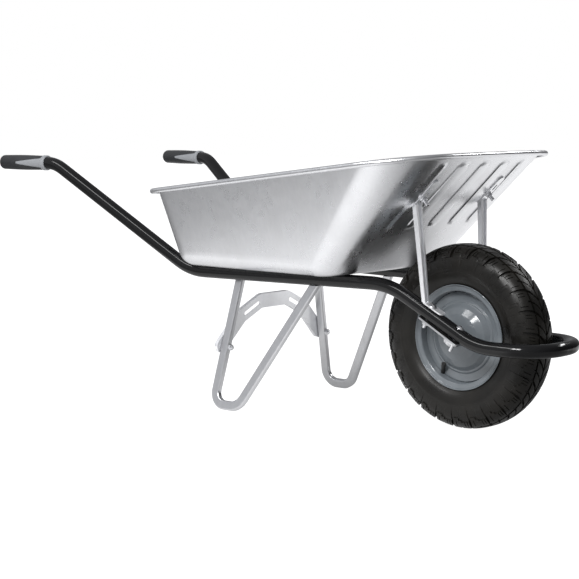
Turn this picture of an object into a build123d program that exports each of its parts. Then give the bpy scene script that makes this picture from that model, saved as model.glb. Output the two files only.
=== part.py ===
from build123d import *
import os
from math import atan, atan2, cos, degrees, radians, sin, sqrt, tan

# A builder's wheelbarrow. Millimetres, +X forwards (the wheel's end), +Y to the left, +Z up.
# The origin is on the ground, in the middle of the overall length.

# ---------------------------------------------------------------- driving dimensions
LENGTH = 1482.0
TUBE_D = 30.0
TUBE_WALL = 2.0
WHEEL_X = 485.5
TYRE_D = 400.0
M8 = 8.0
M8_HOLE = 8.5
M6 = 6.0
M6_HOLE = 6.5
M12 = 12.0
WASHER = 1.6
WASHER_PLAY = 0.2
SHANK_PLAY = 0.05
SIDES = (1, -1)
from_base = (Align.CENTER, Align.CENTER, Align.MIN)

# frame tube: bend points of the left half (the right half mirrors them)
RAIL_Z = 311.5
HANDLE_Z = 556.5
BUMPER_Z = 195.0
TOE = 0.113
GRIP_CAP = 4.0
GRIP_D = 37.0
GRIP_REACH = GRIP_CAP * cos(atan(TOE)) + GRIP_D / 2 * sin(atan(TOE))
HANDLE_END = Vector(-LENGTH / 2 + GRIP_REACH, 281.5, HANDLE_Z)
UPPER_BEND_X = -561.5
UPPER_BEND = Vector(UPPER_BEND_X, HANDLE_END.Y + TOE * (HANDLE_END.X - UPPER_BEND_X), HANDLE_Z)
LOWER_BEND = Vector(-188.0, 170.0, RAIL_Z)
FRONT_BEND_X = 356.0
FRONT_BEND = Vector(FRONT_BEND_X, LOWER_BEND.Y - TOE * (FRONT_BEND_X - LOWER_BEND.X), RAIL_Z)
BUMPER_HALF = 98.0
BUMPER_BEND = Vector(574.5, BUMPER_HALF, BUMPER_Z)
NOSE_CORNER = Vector(LENGTH / 2 - TUBE_D / 2, BUMPER_HALF, BUMPER_Z)
UNDER_RAIL = RAIL_Z - TUBE_D / 2
BEND_RADII = (85.0, 130.0, 190.0, 160.0, 88.0)

# tray
SHEET = 1.5
TRAY_Z = RAIL_Z + TUBE_D / 2
TRAY_BASE_REAR = -190.0
TRAY_BASE_FRONT = 272.0
TRAY_BASE_HALF = 221.0
TRAY_BASE_FILLET = 42.0
RIM_Z = 524.2
RIM_TILT = 6.76
RIM_REAR = -228.0
RIM_FRONT = 561.0
RIM_HALF = 293.0
RIM_FLANGE = 14.0
RIM_CORNERS = (70.0, 150.0)
RIM_SCALE = 1 / cos(radians(RIM_TILT))
BASE_CORNERS = (50.0, 50.0)
BEAD_D = 9.0
FRONT_BOW_R = 1500.0
INSET_FRONT = 0.4
INSET_RIM = 1.2
DRILL = 20.0
RIB_COUNT = 5
RIB_PITCH = 74.0
RIB_WIDTH = 34.0
RIB_LENGTH = 204.0
RIB_HEIGHT = 3.5
RIB_MID_Z = 504.0
RIB_DRAFT = 30.0

# legs
LEG_WIDE = 22.0
LEG_THICK = 14.0
LEG_WALL = 2.0
LEG_REAR_X = -61.0
LEG_FRONT_X = 162.5
LEG_REAR_Y = 135.0
LEG_FOOT_Y = 203.0
LEG_FOOT_SET_BACK = 26.0
LEG_FOOT_LENGTH = 76.0
LEG_BENDS = (30.0, 42.0)
LEG_SOLID_END = 20.0
LEG_FLAT = 1.2
LEG_OVERRUN = 0.14
LEG_CORNER = 4.0
RAIL_BOLT_X = (LEG_REAR_X, LEG_FRONT_X)

# struts, brackets and brace
STRUT_TOP_SIZE = (21.0, 13.0)
STRUT_FOOT_SIZE = (15.0, 10.0)
STRUT_GROOVE = 0.42
STRUT_TOP_Y = 118.0
STRUT_TOP_Z = 487.0
STRUT_FOOT_ALONG = 98.0
TAB_THICK = 3.0
SEAT_GAP = 0.1
TAB_WIDE = 21.0
TAB_LENGTH = 64.0
TAB_BOLT = 20.0
TAB_SLOT_AT = 42.0
TAB_SLOT = (18.0, 6.5)
STRUT_ROUND = 2.0
PLATE = 4.0
BRACKET_BOLTS = (118.0, 198.0)
BRACKET_LENGTH = 112.0
BRACKET_CORNER = 6.0
LUG_Y = 60.0
LUG_R = 17.0
LUG_EAR = (-40.0, 44.0)
BRACE_THICK = 2.5
BRACE_DEEP = 34.0
BRACE_ARCH = ((46.0, 236.0), (108.0, 206.0))
BRACE_BOLT_Z = 142.0
BRACE_STAND_OFF = 0.8
BRACE_NUT_GAP = 1.0
BRACE_FLANGE = 7.0
BRACE_BEND = 20.0
SLOT_LENGTH = 55.0
SLOT_WIDTH = 9.0

# grips
GRIP_LENGTH = 153.0
CORE_D = 33.5
COLLAR = 12.0
COLLAR_ROUND = 1.2
INLAY_LENGTH = 80.0
INLAY_HALVES = (13.0, 2.5)

# wheel
HUB_OD = 35.0
HUB_ID = 28.0
HUB_HALF = 46.0
BUSH_LENGTH = 25.0
BUSH_FLANGE = 2.5
RUN_GAP = 0.3
AXLE_HALF = 80.0
AXLE_BEVEL = 1.0
SPACER_OD = 19.0
AXLE_Z = TYRE_D / 2
RIM_SHEET = 2.2
DISC_SHEET = 2.0
VALVE_ANGLE = -122.0
VALVE_HOLE_D = 9.2
VALVE_HOLE_REACH = 60.0
VALVE_CAP_LENGTH = 11.0
VALVE_CAP_R = 5.2
VALVE_TIP_R = 4.2
VALVE_STEM_R = 4.2
VALVE_FOOT_R = 5.2

# fasteners: head radius and height, nut size across flats and height
M6_HEAD = (8.0, 3.2)
M8_HEAD = (9.5, 5.0)
M8_LOW_HEAD = (9.5, 4.5)
M8_NUT = (13.0, 6.5)
M12_NUT = (19.0, 10.0)
M8_WASHER_OD = 16.0
M12_WASHER_OD = 24.0
TRAY_BOLT_BITE = 17.0
FOOT_BOLT_REACH = 16.0
TUBE_BOLT_REACH = 24.0
TAB_BOLT_REACH = 17.0
BRACE_BOLT_REACH = 12.0
BOLT_BEVEL = 0.8

# wheel profiles: (distance along the axle, radius) of the right way round left half
RIM_PROFILE = [(37, 113), (34.2, 110), (34, 101), (15, 98.8), (8, 91)]
DISC_PROFILE = [
    (18, 96.6), (18, 80), (21, 76.5), (21, 73), (30, 64), (38, 50), (43, 35), (45, 24), (46.5, 18.8),
]
TYRE_BEAD_IN = (22, 101.4)
TYRE_BEAD_OUT = (31, 102.8)
TYRE_FLANGE = (33, 112.5)
TYRE_WIDEST = (48, 152)
TYRE_SHOULDER = (40, 186)
AIR_BEAD = (24, 111)
AIR_WIDEST = (40.5, 150)
AIR_SHOULDER = (33, 181)
AIR_CROWN = (0, 190.5)
AIR_FLOOR = (21, 104)


# ---------------------------------------------------------------- helpers
def left_right(point, side):
    """A left-hand point, or its mirror on the right."""
    return Vector(point.X, side * point.Y, point.Z)


def rail_y(x):
    """Distance of a rail's centre line from the middle of the barrow."""
    return LOWER_BEND.Y - TOE * (x - LOWER_BEND.X)


def placed(part, planes):
    """Copies of a part drawn about the origin, one on each plane."""
    return [plane.location * part for plane in planes]


def revolved_z(points):
    """A closed (radius, height) profile turned about Z."""
    with BuildPart() as turned:
        with BuildSketch(Plane.XZ):
            with BuildLine():
                Polyline(*points, close=True)
            make_face()
        revolve(axis=Axis.Z)
    return turned.part


def dome_bolt(size, head, length):
    """A round-headed bolt: the head stands on Z=0, the shank hangs below it."""
    head_r, head_h = head
    dome_r = (head_r**2 + head_h**2) / (2 * head_h)
    with BuildPart() as bolt:
        with BuildSketch(Plane.XZ):
            with BuildLine():
                Polyline((0, head_h), (0, -length), (size / 2 - BOLT_BEVEL, -length))
                Line((size / 2 - BOLT_BEVEL, -length), (size / 2, BOLT_BEVEL - length))
                Polyline((size / 2, BOLT_BEVEL - length), (size / 2, 0), (head_r, 0))
                RadiusArc((head_r, 0), (0, head_h), -dome_r)
            make_face()
        revolve(axis=Axis.Z)
    return bolt.part


def hex_nut(size, nut_size):
    """A nut hanging below Z=0, chamfered on its lower corners."""
    across_flats, height = nut_size
    with BuildPart() as nut:
        with BuildSketch():
            RegularPolygon(across_flats / 2, 6, major_radius=False)
            Circle(size / 2 + SHANK_PLAY, mode=Mode.SUBTRACT)
        extrude(amount=-height)
        cone_r = across_flats / 2 * 0.95
        with BuildSketch(Plane.XY.offset(-height)):
            Circle(cone_r)
        extrude(amount=height, taper=-60, mode=Mode.INTERSECT)
    return nut.part


def washer(size, outer_d, thick):
    """A flat washer lying below Z=0."""
    inner = size / 2 + WASHER_PLAY
    return revolved_z([(inner, 0), (outer_d / 2, 0), (outer_d / 2, -thick), (inner, -thick)])


def piece_group(name, parts):
    """Separate, equal pieces kept together as one labelled part."""
    with BuildPart() as group:
        add(parts)
    group.part.label = name
    return group.part


def tray_outline(x_rear, x_front, half, r_rear, r_corner):
    """The tray's plan, drawn flat at the origin: straight sides, rounded corners, a slightly bowed front."""
    bow_x = x_front - FRONT_BOW_R
    corner_y = half - r_corner
    corner_x = bow_x + sqrt((FRONT_BOW_R - r_corner) ** 2 - corner_y**2)
    turn = atan2(corner_y, corner_x - bow_x)
    bow = [(bow_x + FRONT_BOW_R * cos(a), FRONT_BOW_R * sin(a)) for a in (turn, 0, -turn)]
    half_turn = (turn + radians(90)) / 2
    corner_mid = (corner_x + r_corner * cos(half_turn), corner_y + r_corner * sin(half_turn))
    rear_mid = (x_rear + r_rear * (1 - sqrt(0.5)), half - r_rear * (1 - sqrt(0.5)))
    with BuildSketch() as section:
        with BuildLine():
            Line((x_rear, -(half - r_rear)), (x_rear, half - r_rear))
            ThreePointArc((x_rear, half - r_rear), rear_mid, (x_rear + r_rear, half))
            Line((x_rear + r_rear, half), (corner_x, half))
            ThreePointArc((corner_x, half), corner_mid, bow[0])
            ThreePointArc(*bow)
            ThreePointArc(bow[2], (corner_mid[0], -corner_mid[1]), (corner_x, -half))
            Line((corner_x, -half), (x_rear + r_rear, -half))
            ThreePointArc((x_rear + r_rear, -half), (rear_mid[0], -rear_mid[1]), (x_rear, r_rear - half))
        make_face()
    return section.sketch


def frame_points(side):
    """The bend points of one half of the frame, from the handle to the nose."""
    left = (HANDLE_END, UPPER_BEND, LOWER_BEND, FRONT_BEND, BUMPER_BEND, NOSE_CORNER)
    return [left_right(p, side) for p in left]


# ---------------------------------------------------------------- reference planes
def incline_plane(side, along, down):
    """On the inclined tube: X down the tube, Z square to it and upwards, `down` below its centre line."""
    start = left_right(FRONT_BEND, side)
    run = (left_right(BUMPER_BEND, side) - start).normalized()
    up = run.cross(Vector(0, 1, 0)).normalized()
    return Plane(origin=start + run * along - up * down, x_dir=run, z_dir=up)


def leg_plane(side):
    """The plane of a leg: origin at its rear bolt, X along the rail, Y up the lean, Z to the right."""
    rear = Vector(LEG_REAR_X, side * LEG_REAR_Y, UNDER_RAIL)
    front = Vector(LEG_FRONT_X, side * rail_y(LEG_FRONT_X), UNDER_RAIL)
    foot = Vector(rear.X, side * LEG_FOOT_Y, 0)
    along = (front - rear).normalized()
    return Plane(origin=rear, x_dir=along, z_dir=along.cross(rear - foot).normalized())


def leg_corners(side):
    """The leg's bend points, its ends running on past the rail's underside."""
    plane = leg_plane(side)
    lean = plane.y_dir.Z
    half_deep = LEG_WIDE / 2 * lean + LEG_THICK / 2 * sqrt(1 - lean**2)
    reach = (UNDER_RAIL - half_deep + LEG_FLAT) / lean
    span = (LEG_FRONT_X - LEG_REAR_X) / plane.x_dir.X
    foot_rear = Vector(-LEG_FOOT_SET_BACK, -reach, 0)
    foot_front = foot_rear + Vector(LEG_FOOT_LENGTH, 0, 0)
    top_rear = foot_rear * -LEG_OVERRUN
    top_front = Vector(span, 0, 0) + (Vector(span, 0, 0) - foot_front) * LEG_OVERRUN
    return [plane.from_local_coords(p) for p in (top_rear, foot_rear, foot_front, top_front)]


def leg_bolt_point(side):
    """The middle of a leg's rear top, against the tray's underside."""
    return rear_member_point(side, TRAY_Z)


def rear_member_point(side, height):
    """The middle of a leg's rear member at one height."""
    top, foot = leg_corners(side)[:2]
    return top + (foot - top) * ((top.Z - height) / (top.Z - foot.Z))


def brace_plane():
    """The brace's front face: X to the left, Y up the lean of the rear members, Z forwards."""
    low = rear_member_point(1, 0)
    high = rear_member_point(1, UNDER_RAIL)
    lean = Vector(high.X - low.X, 0, high.Z).normalized()
    forwards = Vector(0, 1, 0).cross(lean)
    start = Vector(low.X, 0, 0) - forwards * (LEG_WIDE / 2 + BRACE_STAND_OFF)
    return Plane(origin=start, x_dir=(0, 1, 0), z_dir=forwards)


def brace_bolt_plane(side):
    """On the brace's rear face at a bolt: Z points backwards."""
    plane = brace_plane()
    bolt = rear_member_point(side, BRACE_BOLT_Z)
    start = plane.from_local_coords(Vector(bolt.Y, bolt.Z / plane.y_dir.Z, -BRACE_THICK))
    return Plane(origin=start, x_dir=(0, 1, 0), z_dir=plane.z_dir * -1)


def handle_plane(side):
    """At the handle's end: Z along the grip towards the barrow, X upwards."""
    start = left_right(HANDLE_END, side)
    return Plane(origin=start, x_dir=(0, 0, 1), z_dir=left_right(UPPER_BEND, side) - start)


def front_wall_point(y, height):
    """A point on the outside of the tray's front wall, and the wall's own run and normal there."""
    sag = FRONT_BOW_R - sqrt(FRONT_BOW_R**2 - y**2)
    foot = Vector(TRAY_BASE_FRONT - sag, y, TRAY_Z)
    top_x = RIM_FRONT - RIM_FLANGE - sag
    top = Vector(top_x, y, RIM_Z + top_x * tan(radians(RIM_TILT)))
    run = (top - foot).normalized()
    side_run = Vector(-y / FRONT_BOW_R, 1, 0).normalized()
    normal = side_run.cross(run).normalized()
    return foot + run * ((height - TRAY_Z) / run.Z), run, normal


def front_wall_plane(y, height):
    """On the front wall's outside: X up the wall, Z out of it."""
    point, run, normal = front_wall_point(y, height)
    return Plane(origin=point, x_dir=run, z_dir=normal)


def tab_bolt_plane(side):
    """On the front wall's outside where a strut's bolt goes through: X up the wall, Z out of it."""
    seat = front_wall_plane(side * STRUT_TOP_Y, STRUT_TOP_Z)
    return Plane(origin=seat.origin + seat.x_dir * TAB_BOLT, x_dir=seat.x_dir, z_dir=seat.z_dir)


# ---------------------------------------------------------------- frame tube
with BuildPart() as frame_tube:
    with BuildLine() as frame_path:
        route = frame_points(1) + frame_points(-1)[::-1]
        FilletPolyline(*route, radius=list(BEND_RADII) + list(BEND_RADII)[::-1])
    with BuildSketch(Plane(origin=frame_path.line @ 0, z_dir=frame_path.line % 0)):
        Circle(TUBE_D / 2)
        Circle(TUBE_D / 2 - TUBE_WALL, mode=Mode.SUBTRACT)
    sweep(path=frame_path.line)
    for side in SIDES:
        for bolt_x in RAIL_BOLT_X:
            with Locations((bolt_x, side * rail_y(bolt_x), RAIL_Z)):
                Cylinder(M6_HOLE / 2, TUBE_D + 2, mode=Mode.SUBTRACT)
        for along in BRACKET_BOLTS:
            with Locations(incline_plane(side, along, 0).location):
                Cylinder(M8_HOLE / 2, TUBE_D + 2, mode=Mode.SUBTRACT)

# ---------------------------------------------------------------- tray
rim_plane = Plane(
    origin=(0, 0, RIM_Z),
    x_dir=(cos(radians(RIM_TILT)), 0, sin(radians(RIM_TILT))),
    z_dir=(-sin(radians(RIM_TILT)), 0, cos(radians(RIM_TILT))),
)


def tray_solid(inset):
    """The solid inside the tray's outer skin, or inside its inner skin when inset by the sheet."""
    base = tray_outline(
        TRAY_BASE_REAR + inset,
        TRAY_BASE_FRONT - inset * INSET_FRONT,
        TRAY_BASE_HALF - inset,
        BASE_CORNERS[0] - inset,
        BASE_CORNERS[1] - inset,
    )
    wall = RIM_FLANGE + inset * INSET_RIM
    top = tray_outline(
        RIM_REAR * RIM_SCALE + wall,
        RIM_FRONT * RIM_SCALE - wall,
        RIM_HALF - wall,
        RIM_CORNERS[0] - wall,
        RIM_CORNERS[1] - wall,
    )
    with BuildPart() as block:
        loft(sections=[Plane.XY.offset(TRAY_Z + inset).location * base, rim_plane.location * top], ruled=True)
        fillet(block.edges().group_by(Axis.Z)[0], TRAY_BASE_FILLET - inset)
    return block.part


def rib_plane(index, offset):
    """The plane of one rib on the tray's front wall, counted from the right."""
    rib_y = (index - (RIB_COUNT - 1) / 2) * RIB_PITCH
    return front_wall_plane(rib_y, RIB_MID_Z).offset(offset)


tray_skin = tray_solid(0)
tray_space = tray_solid(SHEET)
rim_outer = tray_outline(RIM_REAR * RIM_SCALE, RIM_FRONT * RIM_SCALE, RIM_HALF, *RIM_CORNERS)

with BuildPart() as tray:
    add(tray_skin)
    with BuildSketch(rim_plane.offset(-SHEET)):
        add(rim_outer)
    extrude(amount=SHEET)
    for index in range(RIB_COUNT):
        with BuildSketch(rib_plane(index, -SHEET / 2)):
            SlotOverall(RIB_LENGTH, RIB_WIDTH)
        extrude(amount=RIB_HEIGHT + SHEET / 2, taper=RIB_DRAFT)
    add(tray_space, mode=Mode.SUBTRACT)
    for index in range(RIB_COUNT):
        with BuildSketch(rib_plane(index, -2 * SHEET)):
            SlotOverall(RIB_LENGTH - SHEET, RIB_WIDTH - SHEET)
        extrude(amount=RIB_HEIGHT + SHEET, taper=RIB_DRAFT, mode=Mode.SUBTRACT)
    with BuildLine() as rim_line:
        add((rim_plane.location * rim_outer).faces()[0].outer_wire())
    with BuildSketch(Plane(origin=rim_line.line @ 0, z_dir=rim_line.line % 0)):
        Circle(BEAD_D / 2)
    sweep(path=rim_line.line)
    for side in SIDES:
        for bolt_x in RAIL_BOLT_X:
            with Locations((bolt_x, side * rail_y(bolt_x), TRAY_Z)):
                Cylinder(M6_HOLE / 2, DRILL, mode=Mode.SUBTRACT)
        with Locations(leg_bolt_point(side)):
            Cylinder(M6_HOLE / 2, DRILL, mode=Mode.SUBTRACT)
        with Locations(tab_bolt_plane(side).location):
            Cylinder(M8_HOLE / 2, DRILL, mode=Mode.SUBTRACT)


# ---------------------------------------------------------------- legs
def leg_bar(side, wide, thick, corner):
    """A bar of rounded-rectangle section along the leg's route."""
    plane = leg_plane(side)
    with BuildPart() as bar:
        with BuildLine() as path:
            FilletPolyline(*leg_corners(side), radius=list(LEG_BENDS))
        with BuildSketch(Plane(origin=path.line @ 0, x_dir=plane.z_dir, z_dir=path.line % 0)):
            RectangleRounded(thick, wide, corner)
        sweep(path=path.line)
    return bar.part


def leg(side):
    """A bent box-section leg: one solid end under the rail, one beside it, and a narrow flat on the foot."""
    front_top = (LEG_FRONT_X, side * rail_y(LEG_FRONT_X), UNDER_RAIL)
    hollow_size = (LEG_WIDE - 2 * LEG_WALL, LEG_THICK - 2 * LEG_WALL, LEG_CORNER - LEG_WALL)
    with BuildPart() as hollow:
        add(leg_bar(side, *hollow_size))
        split(bisect_by=Plane.XY.offset(UNDER_RAIL - LEG_SOLID_END), keep=Keep.BOTTOM)
    with BuildPart() as bent:
        add(leg_bar(side, LEG_WIDE, LEG_THICK, LEG_CORNER))
        split(bisect_by=Plane.XY.offset(TRAY_Z), keep=Keep.BOTTOM)
        split(bisect_by=Plane.XY, keep=Keep.TOP)
        with Locations(front_top):
            Box(4 * LEG_WIDE, 4 * LEG_WIDE, 2 * TUBE_D, align=from_base, mode=Mode.SUBTRACT)
        add(hollow.part, mode=Mode.SUBTRACT)
        for top in (front_top, leg_bolt_point(side)):
            with Locations(top):
                Cylinder(M6 / 2 + SHANK_PLAY, 2 * LEG_SOLID_END, mode=Mode.SUBTRACT)
        with Locations(brace_bolt_plane(side).location):
            Cylinder(M8_HOLE / 2, 4 * LEG_WIDE, mode=Mode.SUBTRACT)
    return bent.part


leg_left = leg(1)
leg_right = leg(-1)

# ---------------------------------------------------------------- brace between the rear members
brace_face = brace_plane()
brace_end = rear_member_point(1, BRACE_BOLT_Z)
arch_half = list(BRACE_ARCH) + [(brace_end.Y, brace_end.Z)]
arch_route = [(-y, z) for y, z in arch_half][::-1] + arch_half


def arch_band(plane, half_width):
    """The arch at one width, as a flat sketch."""
    with BuildSketch(plane) as band:
        with BuildLine(mode=Mode.PRIVATE) as line:
            FilletPolyline(*arch_route, radius=BRACE_BEND)
        with BuildLine():
            offset(line.line, amount=half_width, side=Side.BOTH)
        make_face()
    return band.sketch


with BuildPart() as leg_brace:
    extrude(arch_band(brace_face, BRACE_DEEP / 2), amount=-BRACE_THICK)
    back = brace_face.offset(-BRACE_THICK)
    rim_band = arch_band(back, BRACE_DEEP / 2) - arch_band(back, BRACE_DEEP / 2 - BRACE_THICK)
    extrude(rim_band, amount=-BRACE_FLANGE)
    (near_y, near_z), (far_y, far_z) = BRACE_ARCH
    slope = degrees(atan2(near_z - far_z, far_y - near_y))
    for side in SIDES:
        with BuildSketch(brace_face):
            slot_middle = (side * (near_y + far_y) / 2, (near_z + far_z) / 2, 0)
            with Locations(Location(slot_middle, (0, 0, -side * slope))):
                SlotOverall(SLOT_LENGTH, SLOT_WIDTH)
        extrude(amount=-BRACE_THICK, mode=Mode.SUBTRACT)
        with Locations(brace_bolt_plane(side).location):
            Cylinder(M8_HOLE / 2, 4 * BRACE_THICK, mode=Mode.SUBTRACT)


# ---------------------------------------------------------------- struts
def strut_blend(ends, share):
    """A bar tapering between two levels; a share below 1 gives the groove down its front face."""
    sections = []
    for plane, (wide, deep) in ends:
        with BuildSketch(plane) as section:
            with Locations((0, -deep * (1 - share))):
                RectangleRounded(wide * share, deep, STRUT_ROUND * share)
        sections.append(section.sketch)
    with BuildPart() as bar:
        loft(sections=sections, ruled=True)
    return bar.part


def strut(side):
    """A grooved bar, cut square at the top, with a slotted tab up the tray and a foot down the tube."""
    wall = front_wall_plane(side * STRUT_TOP_Y, STRUT_TOP_Z).offset(SEAT_GAP)
    foot = incline_plane(side, STRUT_FOOT_ALONG, -TUBE_D / 2)
    axis = (wall.origin - foot.origin).normalized()
    low = Plane(origin=foot.origin - axis * TAB_WIDE, x_dir=(0, 1, 0), z_dir=axis)
    top = Plane(origin=wall.origin, x_dir=(0, 1, 0), z_dir=axis)
    ends = [(low, STRUT_FOOT_SIZE), (top, STRUT_TOP_SIZE)]
    with BuildPart() as bar:
        add(strut_blend(ends, 1.0))
        add(strut_blend(ends, STRUT_GROOVE), mode=Mode.SUBTRACT)
        split(bisect_by=wall, keep=Keep.TOP)
        split(bisect_by=foot, keep=Keep.TOP)
        with BuildSketch(wall):
            with Locations((TAB_LENGTH / 2, 0)):
                SlotOverall(TAB_LENGTH + TAB_WIDE, TAB_WIDE)
            with Locations((-TAB_WIDE, 0)):
                Rectangle(2 * TAB_WIDE, 2 * TAB_WIDE, mode=Mode.SUBTRACT)
            with Locations((TAB_BOLT, 0)):
                Circle(M8_HOLE / 2, mode=Mode.SUBTRACT)
            with Locations((TAB_SLOT_AT, 0)):
                SlotOverall(*TAB_SLOT, mode=Mode.SUBTRACT)
        extrude(amount=TAB_THICK)
        with BuildSketch(foot):
            with Locations((BRACKET_BOLTS[0] - STRUT_FOOT_ALONG, 0)):
                SlotOverall(TAB_LENGTH, TAB_WIDE)
            with Locations((-TAB_WIDE, 0)):
                Rectangle(2 * TAB_WIDE, 2 * TAB_WIDE, mode=Mode.SUBTRACT)
            with Locations((BRACKET_BOLTS[0] - STRUT_FOOT_ALONG, 0)):
                Circle(M8_HOLE / 2, mode=Mode.SUBTRACT)
        extrude(amount=TAB_THICK)
    return bar.part


strut_left = strut(1)
strut_right = strut(-1)

# ---------------------------------------------------------------- axle brackets
under_tube = incline_plane(1, sum(BRACKET_BOLTS) / 2, TUBE_D / 2)
bracket_plane = Plane(
    origin=(under_tube.origin.X, 0, under_tube.origin.Z),
    x_dir=under_tube.z_dir.cross(Vector(0, 1, 0)) * -1,
    z_dir=under_tube.z_dir,
)
tube_y = under_tube.origin.Y
with BuildPart() as axle_bracket_left:
    with BuildSketch(bracket_plane):
        with Locations((0, (LUG_Y + tube_y + TUBE_D / 2) / 2)):
            RectangleRounded(BRACKET_LENGTH, tube_y + TUBE_D / 2 - LUG_Y, BRACKET_CORNER)
    extrude(amount=-PLATE)
    with BuildSketch(Plane(origin=(0, LUG_Y, 0), x_dir=(1, 0, 0), z_dir=(0, -1, 0))):
        ear_top = [bracket_plane.from_local_coords(Vector(x, 0, -PLATE / 2)) for x in LUG_EAR]
        with BuildLine():
            Line((ear_top[0].X, ear_top[0].Z), (ear_top[1].X, ear_top[1].Z))
            CenterArc((WHEEL_X, AXLE_Z), LUG_R, 0, 360)
        make_hull()
    extrude(amount=-PLATE)
    with Locations(Plane(origin=(WHEEL_X, LUG_Y, AXLE_Z), z_dir=(0, 1, 0)).location):
        Cylinder(M12 / 2 + RUN_GAP, 6 * PLATE, mode=Mode.SUBTRACT)
    for along in BRACKET_BOLTS:
        with Locations(incline_plane(1, along, TUBE_D / 2).location):
            Cylinder(M8_HOLE / 2, 4 * PLATE, mode=Mode.SUBTRACT)
with BuildPart() as axle_bracket_right:
    mirror(axle_bracket_left.part, about=Plane.XZ)


# ---------------------------------------------------------------- grips
def wedge(plane, collar_at):
    """A tapering bar across the grip, wide at the collar: the light inlay on both sides."""
    wide, narrow = INLAY_HALVES
    tip_at = collar_at - INLAY_LENGTH
    with BuildPart() as bar:
        with BuildSketch(Plane(origin=plane.origin, x_dir=plane.z_dir, z_dir=plane.y_dir)):
            with BuildLine():
                Polyline((collar_at, -wide), (collar_at, wide), (tip_at, narrow), (tip_at, -narrow))
                Line((tip_at, -narrow), (collar_at, -wide))
            make_face()
        extrude(amount=GRIP_D, both=True)
    return bar.part


def inlay_skin(plane, collar_at, inlay):
    """The inlay trimmed to the grip's outside."""
    with BuildPart() as skin:
        with BuildSketch(plane.offset(collar_at - INLAY_LENGTH)):
            Circle(GRIP_D / 2)
        extrude(amount=INLAY_LENGTH)
        add(inlay, mode=Mode.INTERSECT)
    return skin.part


def grip(side):
    """The hard core with its collar and inlays, and the soft pad moulded over it."""
    plane = handle_plane(side)
    collar_at = GRIP_LENGTH - COLLAR - GRIP_CAP
    inlay = wedge(plane, collar_at)
    with BuildPart() as core:
        with BuildSketch(plane.offset(-GRIP_CAP)):
            Circle(CORE_D / 2)
        extrude(amount=GRIP_LENGTH)
        with BuildSketch(plane.offset(collar_at)):
            Circle(GRIP_D / 2)
        extrude(amount=COLLAR)
        fillet(core.edges().filter_by(GeomType.CIRCLE).group_by(SortBy.RADIUS)[-1], COLLAR_ROUND)
        add(inlay_skin(plane, collar_at, inlay))
        with BuildSketch(plane):
            Circle(TUBE_D / 2 + SHANK_PLAY)
        extrude(amount=GRIP_LENGTH, mode=Mode.SUBTRACT)
    with BuildPart() as pad:
        with BuildSketch(plane.offset(-GRIP_CAP)):
            Circle(GRIP_D / 2)
            Circle(CORE_D / 2, mode=Mode.SUBTRACT)
        extrude(amount=GRIP_LENGTH - COLLAR)
        add(inlay, mode=Mode.SUBTRACT)
    return core.part, pad.part


grip_core_left, grip_pad_left = grip(1)
grip_core_right, grip_pad_right = grip(-1)

# ---------------------------------------------------------------- wheel, turned about the axle
wheel_section = Plane(origin=(WHEEL_X, 0, AXLE_Z), x_dir=(0, 1, 0), z_dir=(1, 0, 0))
axle_axis = Axis((WHEEL_X, 0, AXLE_Z), (0, 1, 0))


def half_and_mirror(points):
    """A list of (axial, radius) points followed by its mirror image, end to end."""
    return points + [(-a, r) for a, r in points[::-1]]


def turned(points):
    """A closed polygon of (axial, radius) points turned about the axle."""
    with BuildPart() as piece:
        with BuildSketch(wheel_section):
            with BuildLine():
                Polyline(*points, close=True)
            make_face()
        revolve(axis=axle_axis)
    return piece.part


def pressed(points, sheet):
    """Sheet metal that follows (axial, radius) points, turned about the axle."""
    with BuildPart() as piece:
        with BuildSketch(wheel_section):
            with BuildLine(mode=Mode.PRIVATE) as middle:
                FilletPolyline(*points, radius=sheet)
            with BuildLine():
                offset(middle.line, amount=sheet / 2, side=Side.BOTH)
            make_face()
        revolve(axis=axle_axis)
    return piece.part


def across(point):
    """A wheel profile point's mirror image."""
    return (-point[0], point[1])


with BuildPart() as tyre:
    with BuildSketch(wheel_section):
        with BuildLine():
            Polyline(TYRE_BEAD_IN, TYRE_BEAD_OUT, TYRE_FLANGE)
            ThreePointArc(TYRE_FLANGE, TYRE_WIDEST, TYRE_SHOULDER)
            ThreePointArc(TYRE_SHOULDER, (0, AXLE_Z), across(TYRE_SHOULDER))
            ThreePointArc(across(TYRE_SHOULDER), across(TYRE_WIDEST), across(TYRE_FLANGE))
            Polyline(across(TYRE_FLANGE), across(TYRE_BEAD_OUT), across(TYRE_BEAD_IN))
            Line(across(TYRE_BEAD_IN), across(AIR_BEAD))
            ThreePointArc(across(AIR_BEAD), across(AIR_WIDEST), across(AIR_SHOULDER))
            ThreePointArc(across(AIR_SHOULDER), AIR_CROWN, AIR_SHOULDER)
            ThreePointArc(AIR_SHOULDER, AIR_WIDEST, AIR_BEAD)
            Line(AIR_BEAD, TYRE_BEAD_IN)
        make_face()
    revolve(axis=axle_axis)


def air_space(shrink):
    """The space inside the tyre, drawn in by a wall's thickness."""
    with BuildSketch() as space:
        with BuildLine():
            Polyline(across(AIR_BEAD), across(AIR_FLOOR), AIR_FLOOR, AIR_BEAD)
            ThreePointArc(AIR_BEAD, AIR_WIDEST, AIR_SHOULDER)
            ThreePointArc(AIR_SHOULDER, AIR_CROWN, across(AIR_SHOULDER))
            ThreePointArc(across(AIR_SHOULDER), across(AIR_WIDEST), across(AIR_BEAD))
        make_face()
        offset(amount=-shrink)
    return space.sketch


valve_turn = radians(VALVE_ANGLE)
radial = Vector(cos(valve_turn), 0, sin(valve_turn))
centre = Vector(WHEEL_X, 0, AXLE_Z)
valve_root = centre + radial * 105 + Vector(0, -15.6, 0)
valve_tip = centre + radial * 70 + Vector(0, -36, 0)
valve_plane = Plane(origin=valve_root, z_dir=valve_tip - valve_root)
VALVE_LENGTH = (valve_tip - valve_root).length

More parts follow.
